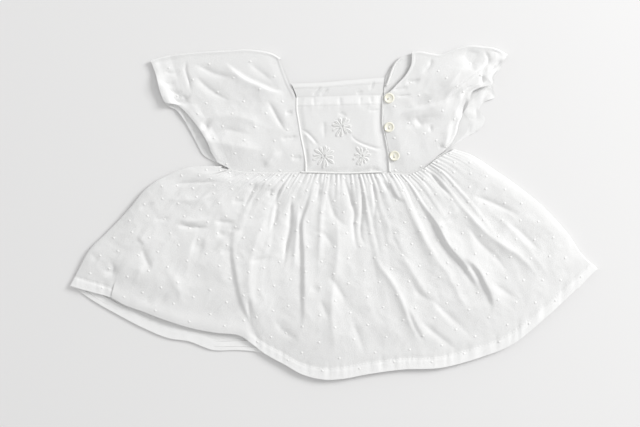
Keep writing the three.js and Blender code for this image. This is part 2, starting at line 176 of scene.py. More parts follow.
def cotton(name, colour, doubled_colour, weave_depth=0.25):
    """Plain-woven cotton: matt, faintly blotched, whiter where two layers lie together."""
    mat = bpy.data.materials.new(name)
    mat.use_nodes = True
    nodes, links = mat.node_tree.nodes, mat.node_tree.links
    skin = nodes["Principled BSDF"]
    skin.inputs["Roughness"].default_value = 0.92
    skin.inputs["Specular IOR Level"].default_value = 0.2
    skin.inputs["Sheen Weight"].default_value = 0.12
    skin.inputs["Sheen Roughness"].default_value = 0.5
    place = nodes.new("ShaderNodeTexCoord")
    blotch = nodes.new("ShaderNodeTexNoise")
    blotch.inputs["Scale"].default_value = 38
    blotch.inputs["Detail"].default_value = 4
    links.new(place.outputs["Object"], blotch.inputs["Vector"])
    doubled = nodes.new("ShaderNodeAttribute")
    doubled.attribute_name = "doubled"
    layers = nodes.new("ShaderNodeMix")
    layers.data_type = "RGBA"
    layers.inputs[6].default_value = (*colour, 1)
    layers.inputs[7].default_value = (*doubled_colour, 1)
    links.new(doubled.outputs["Fac"], layers.inputs[0])
    tone = nodes.new("ShaderNodeMapRange")
    tone.inputs["To Min"].default_value = 0.955
    tone.inputs["To Max"].default_value = 1.03
    links.new(blotch.outputs["Fac"], tone.inputs["Value"])
    scaled = nodes.new("ShaderNodeVectorMath")
    scaled.operation = "SCALE"
    links.new(layers.outputs[2], scaled.inputs[0])
    links.new(tone.outputs["Result"], scaled.inputs["Scale"])
    links.new(scaled.outputs["Vector"], skin.inputs["Base Color"])
    weave = nodes.new("ShaderNodeTexMagic")
    weave.turbulence_depth = 0
    weave.inputs["Scale"].default_value = 5200
    links.new(place.outputs["Object"], weave.inputs["Vector"])
    slub = nodes.new("ShaderNodeTexNoise")
    slub.inputs["Scale"].default_value = 420
    slub.inputs["Detail"].default_value = 3
    links.new(place.outputs["Object"], slub.inputs["Vector"])
    fibres = nodes.new("ShaderNodeMath")
    fibres.operation = "ADD"
    links.new(weave.outputs["Fac"], fibres.inputs[0])
    links.new(slub.outputs["Fac"], fibres.inputs[1])
    bump = nodes.new("ShaderNodeBump")
    bump.inputs["Strength"].default_value = weave_depth
    bump.inputs["Distance"].default_value = 0.0006
    links.new(fibres.outputs["Value"], bump.inputs["Height"])
    links.new(bump.outputs["Normal"], skin.inputs["Normal"])
    return mat


SHARP_EDGE = math.radians(60)


def cloth(name, grid, doubled, mat, wall=0.45):
    """A cloth piece from a grid of outer points in millimetres, with its wall to the inside. A step
    sharper than SHARP_EDGE, as at a cut edge, is shaded as an edge."""
    columns, rows = grid.shape[:2]
    mesh = bpy.data.meshes.new(name)
    number = np.arange(columns * rows).reshape(columns, rows)
    quads = np.stack([number[:-1, :-1], number[1:, :-1], number[1:, 1:], number[:-1, 1:]], -1)
    mesh.from_pydata((grid.reshape(-1, 3) * MM).tolist(), [], quads.reshape(-1, 4).tolist())
    mesh.attributes.new("doubled", "FLOAT", "POINT").data.foreach_set("value", doubled.reshape(-1))
    mesh.shade_smooth()
    piece = bpy.data.objects.new(name, mesh)
    scene.collection.objects.link(piece)
    mesh.materials.append(mat)
    solid = piece.modifiers.new("wall", "SOLIDIFY")
    solid.thickness = wall * MM
    solid.offset = -1
    walled = bpy.data.meshes.new_from_object(piece.evaluated_get(bpy.context.evaluated_depsgraph_get()))
    piece.modifiers.clear()
    piece.data = walled
    walled.set_sharp_from_angle(angle=SHARP_EDGE)
    return piece


def turned_edge(upper, lower, outward, steps=9):
    """Columns of a half turn from an upper edge to a lower one, bulging outward."""
    made = []
    for angle in np.linspace(0, math.pi, steps + 1)[1:-1]:
        height = (upper[:, 2] - lower[:, 2]) / 2
        centre = (upper + lower) / 2
        point = centre + (upper - lower) / 2 * math.cos(angle)
        point[:, :2] += outward * (height * math.sin(angle))[:, None]
        made.append(point)
    return made


def outward_of(curve, share, side):
    along = curve(share + 0.004) - curve(share - 0.004)
    along /= np.linalg.norm(along, axis=-1, keepdims=True)
    return np.stack([-along[:, 1], along[:, 0]], -1) * side


waist = smooth([(-112, 46), (-98, 41), (-72, 39), (-29, 39), (11, 38), (56, 39), (74, 38), (91, 45),
                (104, 55), (120, 64)])
edge_left = smooth([(-112, 46), (-131, 46), (-149, 44), (-171, 35), (-187, 24), (-204, 4), (-226, -19),
                    (-244, -37), (-254, -54), (-264, -73)])
edge_right = smooth([(120, 64), (136, 58), (158, 44), (184, 26), (211, 4), (233, -20), (249, -42),
                     (264, -56)])
side_seam = smooth([(-105, 43), (-129, 35), (-154, 22), (-174, -1), (-192, -19), (-208, -43), (-217, -65),
                    (-222, -85)])
back_hem = smooth([(-264, -73), (-240, -89), (-215, -103), (-192, -115), (-165, -126), (-145, -129),
                   (-132, -134), (-120, -138), (-96, -138), (-76, -140), (-49, -149), (-9, -157),
                   (68, -152), (108, -149), (146, -139), (178, -126), (212, -100), (236, -78)])
SKIRT_LENGTH = 205
SKIRT_HEM = 10
EDGE_ROUND = 1.6
UNDERLAP = 24
WRAP_COLUMNS, BACK_COLUMNS, SKIRT_ROWS = 34, 190, 120

# kind, height and width in millimetres, and the points that the crease runs through
skirt_creases = [
    # deep laps on the button side
    ("lap", 5.0, 11, [(84, 14), (101, -11), (112, -32), (130, -54), (140, -70), (150, -84)]),
    ("lap", 4.0, 10, [(126, -44), (141, -56), (150, -72), (157, -88), (158, -104)]),
    ("trough", 2.2, 4, [(92, 47), (106, 27), (121, 13)]),
    ("ridge", 3.2, 7, [(121, 13), (156, -24), (188, -46), (208, -70)]),
    ("trough", 2.0, 4, [(135, 18), (150, 13), (166, 6), (187, -4)]),
    ("trough", 1.8, 5, [(171, -8), (188, -21), (206, -39)]),
    ("trough", 1.6, 5, [(128, -10), (136, -18), (147, -32), (163, -46), (177, -67)]),
    ("trough", 1.4, 4, [(156, -69), (168, -77), (186, -88)]),
    ("ridge", 1.6, 7, [(150, 5), (180, -20), (206, -52), (222, -72)]),
    ("trough", 1.2, 5, [(229, -53), (237, -69)]),
    ("trough", 1.2, 5, [(244, -30), (256, -48)]),
    # the long folds down the middle
    ("lap", 3.6, 9, [(-22, 37), (-23, 21), (-27, 5), (-32, -9), (-31, -40), (-31, -100), (-33, -130)]),
    ("trough", 4.2, 2.6, [(-42, 18), (-44, -17), (-47, -31), (-50, -57)]),
    ("ridge", 2.6, 5, [(-35, 10), (-37, -20), (-40, -60)]),
    ("trough", 2.4, 4, [(-48, 35), (-56, 17), (-59, -8), (-68, -29)]),
    ("trough", 1.6, 3, [(-62, 24), (-64, 14)]),
    ("trough", 2.0, 3.5, [(-76, 32), (-85, 14), (-90, 3)]),
    ("trough", 1.6, 3, [(-68, 31), (-79, 15), (-85, 3)]),
    ("trough", 1.8, 3, [(-13, 34), (-17, 8)]),
    ("trough", 2.6, 3.5, [(10, 37), (14, 23), (18, 9), (21, 0), (20, -12), (22, -31), (26, -42)]),
    ("trough", 2.4, 3, [(29, 29), (29, 6), (27, -22), (33, -37)]),
    ("trough", 2.0, 3, [(38, 34), (41, 11), (40, -12)]),
    ("trough", 1.8, 3, [(47, 32), (56, 21)]),
    ("lap", 2.6, 8, [(53, 35), (63, 15), (75, 10)]),
    ("trough", 1.6, 4, [(-7, 24), (1, -3), (9, -11), (19, -15)]),
    ("trough", 1.4, 4, [(-22, -18), (-11, -21), (-4, -29), (1, -37)]),
    ("trough", 2.2, 5, [(-7, -63), (-1, -68), (9, -84), (13, -94)]),
    ("trough", 1.3, 4, [(-24, -74), (-13, -80)]),
    ("trough", 1.5, 4, [(-14, -86), (-10, -95), (-4, -109)]),
    ("trough", 1.8, 5, [(-60, -107), (-47, -121), (-34, -127)]),
    ("trough", 1.6, 3, [(-86, -49), (-60, -45)]),
    ("trough", 2.0, 5, [(55, -9), (61, -28), (70, -43), (78, -49)]),
    ("ridge", 3.0, 6, [(38, -38), (45, -52), (59, -71), (70, -94), (79, -117), (94, -138)]),
    ("lap", 2.4, 8, [(72, -91), (84, -117), (95, -134)]),
    ("trough", 2.4, 4, [(85, -107), (104, -123), (127, -141)]),
    ("trough", 1.8, 5, [(74, -59), (84, -80), (98, -88), (112, -101), (125, -112), (146, -133)]),
    ("trough", 1.5, 4, [(18, -108), (24, -121), (32, -146)]),
    ("trough", 1.4, 4, [(104, -11), (125, -3)]),
    ("ridge", 2.6, 9, [(40, 20), (58, -20), (76, -56), (100, -92), (130, -128)]),
    ("ridge", 2.2, 8, [(66, 22), (92, -30), (116, -66), (140, -112)]),
    ("ridge", 2.2, 8, [(2, 10), (4, -40), (-2, -90), (2, -150)]),
    ("ridge", 1.8, 7, [(-12, 12), (-14, -30), (-16, -60)]),
    ("ridge", 2.0, 8, [(-64, 4), (-78, -30), (-84, -70), (-74, -118)]),
    ("lap", 1.2, 6, [(33, -147), (66, -143), (94, -141)]),
    # the slipped side, with its big overlap
    ("lap", 2.6, 16, [(-98, -12), (-102, -34), (-99, -58), (-94, -83), (-87, -103), (-78, -120),
                      (-69, -142)]),
    ("trough", 2.6, 4, [(-85, -85), (-84, -100), (-82, -116)]),
    ("trough", 3.4, 2.2, [(-158, -12), (-138, -15), (-122, -15)]),
    ("trough", 2.6, 3, [(-120, -9), (-106, -10), (-97, -10)]),
    ("trough", 2.4, 4, [(-118, -18), (-109, -23), (-98, -19)]),
    ("ridge", 2.0, 5, [(-158, -7), (-136, -9), (-120, -4)]),
    ("trough", 1.6, 3, [(-106, -17), (-92, -18)]),
    ("trough", 1.4, 3, [(-180, -7), (-163, -6)]),
    ("trough", 1.4, 3, [(-195, 3), (-178, 10)]),
    ("lap", 2.0, 6, [(-196, -24), (-187, -35)]),
    ("trough", 2.4, 4, [(-192, -33), (-187, -47), (-181, -59)]),
    ("trough", 1.4, 4, [(-244, -39), (-234, -50)]),
    ("trough", 1.6, 3, [(-232, -57), (-220, -60), (-212, -56)]),
    ("trough", 1.6, 3, [(-222, -66), (-220, -56), (-224, -48)]),
    ("trough", 1.4, 3, [(-228, -66), (-216, -52)]),
    ("trough", 1.4, 3, [(-241, -76), (-233, -81), (-223, -84)]),
    ("trough", 2.0, 5, [(-188, -83), (-182, -97)]),
    ("trough", 1.8, 3.5, [(-181, -97), (-176, -92), (-165, -80)]),
    ("trough", 2.2, 11, [(-142, -32), (-128, -36)]),
    ("ridge", 2.0, 7, [(-91, -16), (-106, -27), (-120, -38)]),
    ("ridge", 1.6, 6, [(-190, -52), (-200, -74)]),
    ("trough", 2.0, 3, [(-165, 27), (-151, 29), (-131, 30), (-110, 31)]),
    ("lap", 2.0, 7, [(-102, 42), (-112, 41), (-128, 40), (-144, 41)]),
    ("trough", 1.8, 5, [(-176, 30), (-158, 35), (-146, 41)]),
    ("trough", 1.4, 3, [(-102, 11), (-88, 11)]),
    ("trough", 1.3, 4, [(-113, -40), (-98, -37)]),
    ("ridge", 1.4, 5, [(-170, 14), (-140, 12), (-108, 20)]),
    ("ridge", 1.8, 9, [(-160, -60), (-150, -90)]),
]


def fold_edge_round(x, y):
    """How much of the skirt's height there is near a folded side edge: none on it, all well inside."""
    away = np.full(x.shape, 1e9)
    for edge in (edge_left, edge_right):
        for px, py in edge(np.linspace(0, 1, 70)):
            away = np.minimum(away, np.hypot(x - px, y - py))
    inside = np.clip(away / 20, 0, 1)
    return np.sqrt(1 - (1 - inside) ** 2)


def skirt_height(x, y, to_hem):
    """Height of the skirt's front over the surface; to_hem is the distance to the hem's edge."""
    swell = 3.6 + 2.2 * unevenness(x, y, 95, 11) + 1.15 * crumple(x, y, 21)
    height = swell + creases(skirt_creases, x, y) * (0.28 + 0.54 * ease(to_hem / 26))
    height = 2.6 + np.maximum(height, 0.1 * height) * fold_edge_round(x, y)
    rest = 2.3 + 0.5 * unevenness(x, y, 34, 5)
    return rest + (height - rest) * (0.3 + 0.7 * ease(to_hem / 45))


def hem_relief(along, to_hem):
    """A turned hem: thicker, with a stitched groove at its top and small puckers across it."""
    band = ease((SKIRT_HEM + 0.6 - to_hem) / 1.2)
    pucker = unevenness(along, along * 0, 4.2, 31) + 0.7 * unevenness(along, along * 0, 2.3, 32)
    groove = -0.55 * np.exp(-((to_hem - SKIRT_HEM) / 1.1) ** 2)
    return band * 0.5 + groove + 0.42 * pucker * np.exp(-((to_hem - SKIRT_HEM * 0.75) / 6.5) ** 2)


def back_relief(x, y):
    """The under layer rises off the surface in soft, low waves."""
    return 0.9 * np.maximum(unevenness(x, y, 60, 41), 0) + 0.3 * np.abs(unevenness(x, y, 17, 42))


white_cotton = cotton("dotted_cotton", (0.82, 0.82, 0.815), (0.90, 0.90, 0.895))
rows = 1 - (1 - np.linspace(0, 1, SKIRT_ROWS)) ** 1.05
to_hem_row = (1 - rows) * SKIRT_LENGTH
inner_left = beside(edge_left, EDGE_ROUND)
inner_right = beside(edge_right, -EDGE_ROUND)
wrap_columns = []
for share in np.linspace(0, 1, WRAP_COLUMNS):
    flat = side_seam(rows) * (1 - share) + inner_left(rows) * share
    lift = skirt_height(flat[:, 0], flat[:, 1], to_hem_row) - 0.12 * (1 - share)
    lift += hem_relief(flat[:, 0], to_hem_row)
    wrap_columns.append(np.column_stack([flat, lift]))
under_end = beside(edge_right, -UNDERLAP)
back_waist = pinned(waist, inner_left(0.0), under_end(0.0))
back_foot = pinned(back_hem, inner_left(1.0), under_end(1.0))
u, v = np.meshgrid(np.linspace(0, 1, BACK_COLUMNS), rows, indexing="ij")
flat = between(back_waist, back_foot, inner_left, under_end)(u, v)
underside = 0.1 + back_relief(flat[..., 0], flat[..., 1]) * ease(u / 0.05) * ease((1 - u) / 0.04)
hem_at = (1 - v) * SKIRT_LENGTH
underside = underside + 0.4 * (hem_relief(flat[..., 0], hem_at) + 0.5)
back_columns = np.concatenate([flat, underside[..., None]], -1)
turn = turned_edge(wrap_columns[-1], back_columns[0], outward_of(edge_left, rows, -1))
grid = np.stack(wrap_columns + turn + list(back_columns))
doubled = np.broadcast_to(ease((SKIRT_HEM - to_hem_row) / 1.0), grid.shape[:2]).copy()
skirt_back = cloth("skirt_back_panel", grid, doubled, white_cotton)
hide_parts("skirt_back")
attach(skirt_back, "root")


# ---- The skirt's front ----
# The same cut as the back. Small gathers at the waist run out into long folds. The panel turns
# under at the button side, and its hem has rolled under at the other, so the back's hem shows.
front_hem = smooth([(-222, -85), (-207, -93), (-190, -99), (-172, -106), (-144, -115), (-119, -120),
                    (-94, -123), (-82, -131), (-69, -141), (-49, -152), (-31, -162), (-9, -167), (11, -166),
                    (32, -162), (68, -157), (108, -155), (149, -144), (178, -132), (212, -105), (236, -83),
                    (264, -56)])
FRONT_COLUMNS = 330
TURNED_UNDER_FROM = -75
SEAM_SHARE = 0.03


def gathers(u, v, seed):
    """Pleats drawn in at the waist, of uneven width, height and length, leaning as they run out."""
    dice = np.random.default_rng(seed)
    total = np.zeros(u.shape)
    at = 0.0
    while at < 1:
        width = dice.uniform(0.011, 0.026)
        height = dice.uniform(0.5, 1.4)
        reach = dice.uniform(0.07, 0.2) + (0.3 if dice.random() < 0.25 else 0)
        lean = dice.uniform(-0.03, 0.03)
        centre = at + width / 2 + lean * v
        across = np.abs(u - centre) / (width / 2 * (1 + 0.6 * v))
        total += height * np.clip(1 - across ** 1.6, 0, 1) * np.exp(-(v / reach) ** 1.5)
        at += width * 0.93
    return total


front_rows = rows ** 1.08
u, v = np.meshgrid(np.linspace(0, 1, FRONT_COLUMNS), front_rows, indexing="ij")
near = pinned(part_of(waist, SEAM_SHARE, 1), side_seam(0.0), inner_right(0.0))
far = pinned(front_hem, side_seam(1.0), inner_right(1.0))
flat = between(near, far, side_seam, inner_right)(u, v)
hem_at = (1 - v) * SKIRT_LENGTH
x, y = flat[..., 0], flat[..., 1]
turned_under = ease((TURNED_UNDER_FROM - x) / 14)
lift = skirt_height(x, y, hem_at) * (1 - 0.35 * ease(1 - v / 0.12))
lift += gathers(u, v, 7) * ease((1 - u) / 0.03) * ease(u / 0.02)
lift += hem_relief(x, hem_at) * (1 - turned_under)
lift += turned_under * 1.7 * np.exp(-((hem_at - 5) / 9) ** 2)
front_top = np.concatenate([flat, lift[..., None]], -1)
under = []
for share in np.linspace(0, 1, 10):
    reach = EDGE_ROUND + share * (2 + UNDERLAP * front_rows)
    direction = outward_of(edge_right, front_rows, 1)
    place = edge_right(front_rows) - direction * reach[:, None]
    under.append(np.column_stack([place, np.full(len(front_rows), 0.3 + 0.5 * share)]))
turn = turned_edge(front_top[-1], under[0], outward_of(edge_right, front_rows, 1))
grid = np.stack(list(front_top) + turn + under)
doubled = ease((SKIRT_HEM - (1 - front_rows) * SKIRT_LENGTH) / 1.0)
doubled = np.broadcast_to(doubled, grid.shape[:2]).copy()
doubled[:FRONT_COLUMNS] *= 1 - turned_under
skirt_front = cloth("skirt_front_panel", grid[::-1], doubled[::-1], white_cotton)
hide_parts("skirt_front")
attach(skirt_front, "root")


# ---- The yoke's back and front ----
# Two plain cotton panels. The back one's inside shows above the front's square neckline, which is
# faced and stitched, so that small puckers stand under its edge.
seam_left = [(-28, 39), (-28, 49), (-30, 62), (-33, 77), (-35, 90), (-37, 102), (-37, 115)]
seam_right = [(56, 39), (55, 56), (53, 68), (51, 78), (49, 87), (49, 102), (49, 115), (49, 117)]
neck_front = smooth([(-37, 115), (-4, 116), (26, 117), (49, 117)])
neck_back = smooth([(-42, 129), (-14, 130), (11, 132), (36, 134), (51, 135)])
FOOT_LEFT, FOOT_RIGHT = 0.336, 0.669
YOKE_WIDTH, YOKE_FRONT_LENGTH, YOKE_BACK_LENGTH = 85, 77, 92
FRONT_FACING, BACK_FACING = 9, 5

plain_cotton = cotton("plain_cotton", (0.82, 0.82, 0.815), (0.88, 0.88, 0.875))
yoke_creases = [
    ("trough", 1.3, 1.8, [(-33, 83), (-27, 80), (-21, 74), (-14, 66)]),
    ("ridge", 0.9, 3, [(-31, 79), (-25, 75), (-18, 67)]),
    ("trough", 1.5, 1.6, [(16, 79), (22, 72), (33, 67), (44, 64), (52, 64)]),
    ("ridge", 1.0, 3, [(18, 75), (26, 68), (38, 63), (48, 60)]),
    ("trough", 0.8, 3, [(-10, 92), (-9, 73)]),
    ("trough", 0.7, 2, [(34, 101), (47, 103)]),
    ("trough", 0.9, 1.6, [(-28, 41), (-8, 41), (11, 39)]),
    ("trough", 1.1, 1.8, [(13, 40), (28, 41), (36, 45), (38, 48)]),
    ("trough", 0.8, 1.8, [(36, 43), (47, 42)]),
    ("trough", 1.1, 1.8, [(-28, 66), (-27, 52), (-27, 43)]),
    ("trough", 0.7, 2.5, [(4, 100), (14, 96)]),
    ("trough", 0.6, 2, [(-20, 116), (-19, 105)]),
    ("trough", 0.6, 2, [(6, 116), (7, 106)]),
    ("trough", 0.6, 2, [(27, 116), (27, 105)]),
    ("trough", 0.6, 2, [(37, 117), (38, 107)]),
]
u, v = np.meshgrid(np.linspace(0, 1, 96), np.linspace(0, 1, 90), indexing="ij")
foot = part_of(waist, FOOT_LEFT, FOOT_RIGHT)
start, end = smooth(seam_left), smooth(seam_right)
neck_edge = pinned(neck_front, start(1.0), end(1.0))
flat = between(pinned(foot, start(0.0), end(0.0)), neck_edge, start, end)(u, v)
x, y = flat[..., 0], flat[..., 1]
from_seam = np.minimum(np.minimum(u, 1 - u) * YOKE_WIDTH, v * YOKE_FRONT_LENGTH)
lift = 2.7 + 1.2 * ease(from_seam / 9) + creases(yoke_creases, x, y)
lift += 0.3 * crumple(x, y, 51) * ease(from_seam / 5)
from_neck = (1 - v) * YOKE_FRONT_LENGTH
near_stitches = np.exp(-((from_neck - FRONT_FACING) / 5) ** 2)
lift += 0.35 * ease((FRONT_FACING - from_neck) / 1.2) + 0.25 * near_stitches * unevenness(x, x * 0, 4, 52)
yoke_front_grid = np.concatenate([flat, np.maximum(lift, 2.1)[..., None]], -1)
yoke_front = cloth("yoke_front_panel", yoke_front_grid, ease(FRONT_FACING - from_neck), plain_cotton)
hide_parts("yoke_front")
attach(yoke_front, "root")

back_creases = [
    ("trough", 0.9, 1.6, [(-22, 116), (-18, 120), (-12, 128)]),
    ("trough", 0.9, 1.6, [(-14, 116), (-10, 120), (-4, 125)]),
    ("trough", 0.7, 1.8, [(36, 123), (41, 132)]),
    ("trough", 0.6, 2, [(22, 119), (30, 121)]),
]
start, end = smooth(seam_left + [(-42, 129)]), smooth(seam_right[:-1] + [(51, 135)])
neck_edge = pinned(neck_back, start(1.0), end(1.0))
flat = between(pinned(foot, start(0.0), end(0.0)), neck_edge, start, end)(u, v)
x, y = flat[..., 0], flat[..., 1]
facing = ease(BACK_FACING - (1 - v) * YOKE_BACK_LENGTH)
showing = ease((y - 108) / 8)
lift = 0.6 + showing * (0.9 + creases(back_creases, x, y)) + 0.35 * facing
grid = np.concatenate([flat, lift[..., None]], -1)
yoke_back = cloth("yoke_back_panel", grid, facing, plain_cotton)
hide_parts("yoke_back")
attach(yoke_back, "root")


# ---- The side pieces with their sleeves ----
# Each is cut in one with its short sleeve, of the dotted cotton, and folds over at the shoulder.
# The sleeve's hem is turned up deep and has crumpled; the neck edge is bound.
side_pieces = {
    "left": dict(
        side=1, seam=seam_left, seam_back=seam_left + [(-42, 129)],
        waist_from=0.0, waist_to=FOOT_LEFT,
        underarm=(-116, 50), neck=[(-38, 118), (-42, 125), (-47, 137), (-53, 154)],
        neck_back=[(-47, 141), (-53, 154)],
        hem_front=[(-116, 50), (-122, 60), (-126, 70), (-134, 83), (-145, 97), (-156, 107), (-168, 110),
                   (-173, 120), (-177, 136), (-183, 152)],
        hem_back=[(-119, 50), (-131, 57), (-137, 68), (-146, 86), (-157, 102), (-168, 108), (-173, 120),
                  (-177, 136), (-183, 152)],
        shoulder=[(-183, 152), (-169, 156), (-149, 159), (-124, 161), (-104, 162), (-91, 163), (-76, 162),
                  (-62, 159), (-53, 154)],
        creases=[
            ("lap", 3.6, 12, [(-47, 119), (-61, 122), (-73, 127), (-88, 134), (-98, 141), (-111, 152)]),
            ("trough", 1.8, 4, [(-141, 148), (-130, 144), (-120, 139), (-109, 136), (-95, 134)]),
            ("trough", 1.6, 4, [(-139, 137), (-129, 127), (-117, 118), (-102, 110)]),
            ("trough", 1.3, 1.6, [(-147, 153), (-148, 142), (-145, 132), (-143, 123), (-141, 118)]),
            ("trough", 2.2, 2.4, [(-163, 117), (-154, 110), (-141, 118)]),
            ("trough", 1.4, 2.2, [(-166, 124), (-158, 119), (-150, 122)]),
            ("trough", 1.4, 2.2, [(-158, 113), (-151, 116), (-146, 112)]),
            ("trough", 2.0, 4, [(-181, 149), (-166, 152), (-152, 154)]),
            ("trough", 2.4, 6, [(-131, 89), (-124, 84)]),
            ("trough", 2.0, 4, [(-66, 112), (-61, 103), (-55, 92), (-47, 79)]),
            ("trough", 1.2, 2, [(-49, 99), (-40, 100)]),
            ("trough", 1.4, 2, [(-54, 73), (-34, 76)]),
            ("trough", 1.2, 2, [(-43, 54), (-30, 55)]),
            ("ridge", 1.8, 5, [(-70, 45), (-61, 55), (-50, 61)]),
            ("ridge", 1.6, 9, [(-140, 92), (-100, 96), (-62, 84)]),
            ("ridge", 1.8, 10, [(-128, 72), (-96, 66), (-70, 62)]),
            ("trough", 1.8, 6, [(-130, 70), (-110, 82), (-84, 78)]),
            ("trough", 1.2, 5, [(-86, 150), (-70, 138), (-58, 128)]),
            ("trough", 1.2, 1.8, [(-174, 132), (-164, 128), (-156, 132)]),
            ("trough", 1.0, 1.8, [(-170, 141), (-160, 139), (-152, 143)]),
        ]),
    "right": dict(
        side=-1, seam=seam_right, seam_back=seam_right[:-1] + [(51, 135)],
        waist_from=1.0, waist_to=FOOT_RIGHT,
        underarm=(119, 71), neck=[(51, 119), (55, 121), (63, 129), (72, 139), (77, 149), (78, 160)],
        neck_back=[(56, 145), (63, 154), (78, 160)],
        hem_front=[(119, 71), (123, 80), (125, 89), (130, 99), (135, 110), (138, 120), (148, 125),
                   (159, 128), (158, 135), (163, 142), (169, 151), (174, 158)],
        hem_back=[(121, 70), (136, 77), (148, 85), (152, 94), (146, 102), (150, 110), (162, 116),
                  (160, 124), (162, 136), (168, 146), (174, 158)],
        shoulder=[(174, 158), (162, 164), (149, 166), (136, 167), (126, 165), (115, 161), (106, 158),
                  (98, 159), (86, 161), (78, 160)],
        creases=[
            ("lap", 3.4, 10, [(110, 110), (118, 120), (129, 129), (140, 137), (150, 146), (154, 154)]),
            ("trough", 3.0, 10, [(135, 166), (137, 153), (140, 138)]),
            ("trough", 3.6, 2.4, [(133, 114), (130, 102), (127, 90), (124, 78)]),
            ("trough", 1.4, 1.6, [(150, 163), (153, 158), (155, 152), (150, 145)]),
            ("trough", 1.8, 2, [(170, 153), (162, 147), (154, 140)]),
            ("trough", 2.0, 2, [(149, 137), (148, 127)]),
            ("lap", 2.4, 6, [(125, 110), (130, 119), (138, 123), (149, 127), (158, 127)]),
            ("trough", 1.6, 2.4, [(71, 130), (81, 131), (88, 133)]),
            ("trough", 1.3, 2, [(62, 116), (79, 117)]),
            ("trough", 1.2, 2, [(59, 122), (76, 125)]),
            ("lap", 2.6, 9, [(121, 117), (106, 109), (80, 103), (70, 100), (64, 92)]),
            ("trough", 1.6, 3, [(81, 95), (90, 85)]),
            ("trough", 1.4, 2.5, [(96, 87), (98, 80)]),
            ("trough", 1.6, 12, [(88, 98), (90, 84)]),
            ("trough", 1.0, 1.4, [(103, 67), (117, 63)]),
            ("ridge", 2.0, 8, [(86, 110), (112, 124), (130, 146)]),
            ("ridge", 1.4, 6, [(108, 60), (114, 76), (120, 92)]),
            ("ridge", 2.0, 4, [(137, 120), (136, 108), (133, 96), (129, 86)]),
            ("trough", 1.4, 3, [(98, 156), (96, 146), (86, 138)]),
        ]),
}
SLEEVE_HEM = 18
SIDE_WIDTH = 115
SLEEVE_COLUMNS, SLEEVE_ROWS = 118, 92
sleeve_fronts = {}
for name, cut in side_pieces.items():
    shoulder = smooth(cut["shoulder"])
    fold = beside(shoulder, -cut["side"] * EDGE_ROUND)
    waist_edge = beside(part_of(waist, cut["waist_from"], cut["waist_to"]), cut["side"] * 0.3)
    layers = []
    edges = (
        (cut["hem_front"], cut["seam"] + cut["neck"]),
        (cut["hem_back"], cut["seam_back"] + cut["neck_back"]),
    )
    for hem, line in edges:
        centre = beside(smooth(line), cut["side"] * 1.0)
        start = pinned(smooth(hem), np.array(cut["underarm"], float), fold(0.0))
        end = pinned(centre, centre(0.0), fold(1.0))
        layers.append(between(pinned(waist_edge, start(0.0), end(0.0)), fold, start, end))
    u, v = np.meshgrid(np.linspace(0, 1, SLEEVE_COLUMNS), np.linspace(0, 1, SLEEVE_ROWS), indexing="ij")
    flat = layers[0](u, v)
    x, y = flat[..., 0], flat[..., 1]
    hem_away = u * SIDE_WIDTH
    puff = ease(v / 0.2) * (1 - 0.75 * ease((v - 0.75) / 0.25)) * (1 - 0.45 * ease((u - 0.8) / 0.2))
    lift = 2.8 + (2.6 + 0.9 * crumple(x, y, 61 + cut["side"])) * puff
    calm = ease((1 - u) / 0.05) * ease(v / 0.06)
    lift += creases(cut["creases"], x, y) * (0.25 + 0.75 * calm * ease((1 - v) / 0.07))
    lift += 0.8 * np.exp(-((hem_away - 3) / 5) ** 2) * ease(v / 0.15)
    crushed = ease((22 - hem_away) / 10) * ease(v / 0.3)
    lift += crushed * (1.1 * unevenness(x, y, 9, 71) - 0.8 * np.abs(unevenness(x, y, 12, 72)))
    neck_binding = ease((3.5 - (1 - u) * SIDE_WIDTH) / 0.8) * ease((y - 112) / 6)
    lift += 0.45 * neck_binding
    lift = np.maximum(lift, 2.3)
    lift[:, -1] = 3.8
    front = np.concatenate([flat, lift[..., None]], -1)
    flat = layers[1](u, v)[:, ::-1]
    x, y = flat[..., 0], flat[..., 1]
    lower = 0.15 + back_relief(x, y) * 0.7 * ease((1 - v) / 0.1) * ease(v / 0.1)
    lower += 0.9 * crushed[:, ::-1] * np.abs(unevenness(x, y, 10, 73))
    back = np.concatenate([flat, lower[..., None]], -1)
    outward = outward_of(shoulder, np.linspace(0, 1, SLEEVE_COLUMNS), cut["side"])
    turn = turned_edge(front[:, -1], back[:, 0], outward)
    grid = np.concatenate([front, np.stack(turn, 1), back[:, 1:]], 1)
    hem_band = ease((SLEEVE_HEM - hem_away[:, :1]) / 1.2)
    doubled = 0.8 * np.broadcast_to(hem_band, grid.shape[:2]).copy()
    if cut["side"] < 0:
        grid, doubled = grid[::-1], doubled[::-1]
    sleeve = cloth(f"side_and_sleeve_{name}", grid, doubled, white_cotton)
    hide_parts(f"side_sleeve_{name}")
    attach(sleeve, "root")
    sleeve_fronts[name] = front


# ---- Piping ----
# Three lengths of cord covered in bias-cut cotton, sewn into the yoke's two sides and its foot.
# Each stands a little proud of the seam that holds it.
def threads(name, paths, radius, mat, closed=False, roundness=3):
    """Round threads or cords along paths of points in millimetres, as one mesh."""
    curve = bpy.data.curves.new(name, "CURVE")
    curve.dimensions = "3D"
    curve.bevel_depth = radius * MM
    curve.bevel_resolution = roundness
    curve.use_fill_caps = True
    for path in paths:
        spline = curve.splines.new("POLY")
        spline.points.add(len(path) - 1)
        spline.use_cyclic_u = closed
        for point, place in zip(spline.points, path):
            point.co = (*(np.asarray(place) * MM), 1)
    shape = bpy.data.objects.new(name, curve)
    scene.collection.objects.link(shape)
    mesh = bpy.data.meshes.new_from_object(shape.evaluated_get(bpy.context.evaluated_depsgraph_get()))
    bpy.data.objects.remove(shape)
    mesh.materials.clear()
    mesh.materials.append(mat)
    mesh.shade_smooth()
    made = bpy.data.objects.new(name, mesh)
    scene.collection.objects.link(made)
    return made


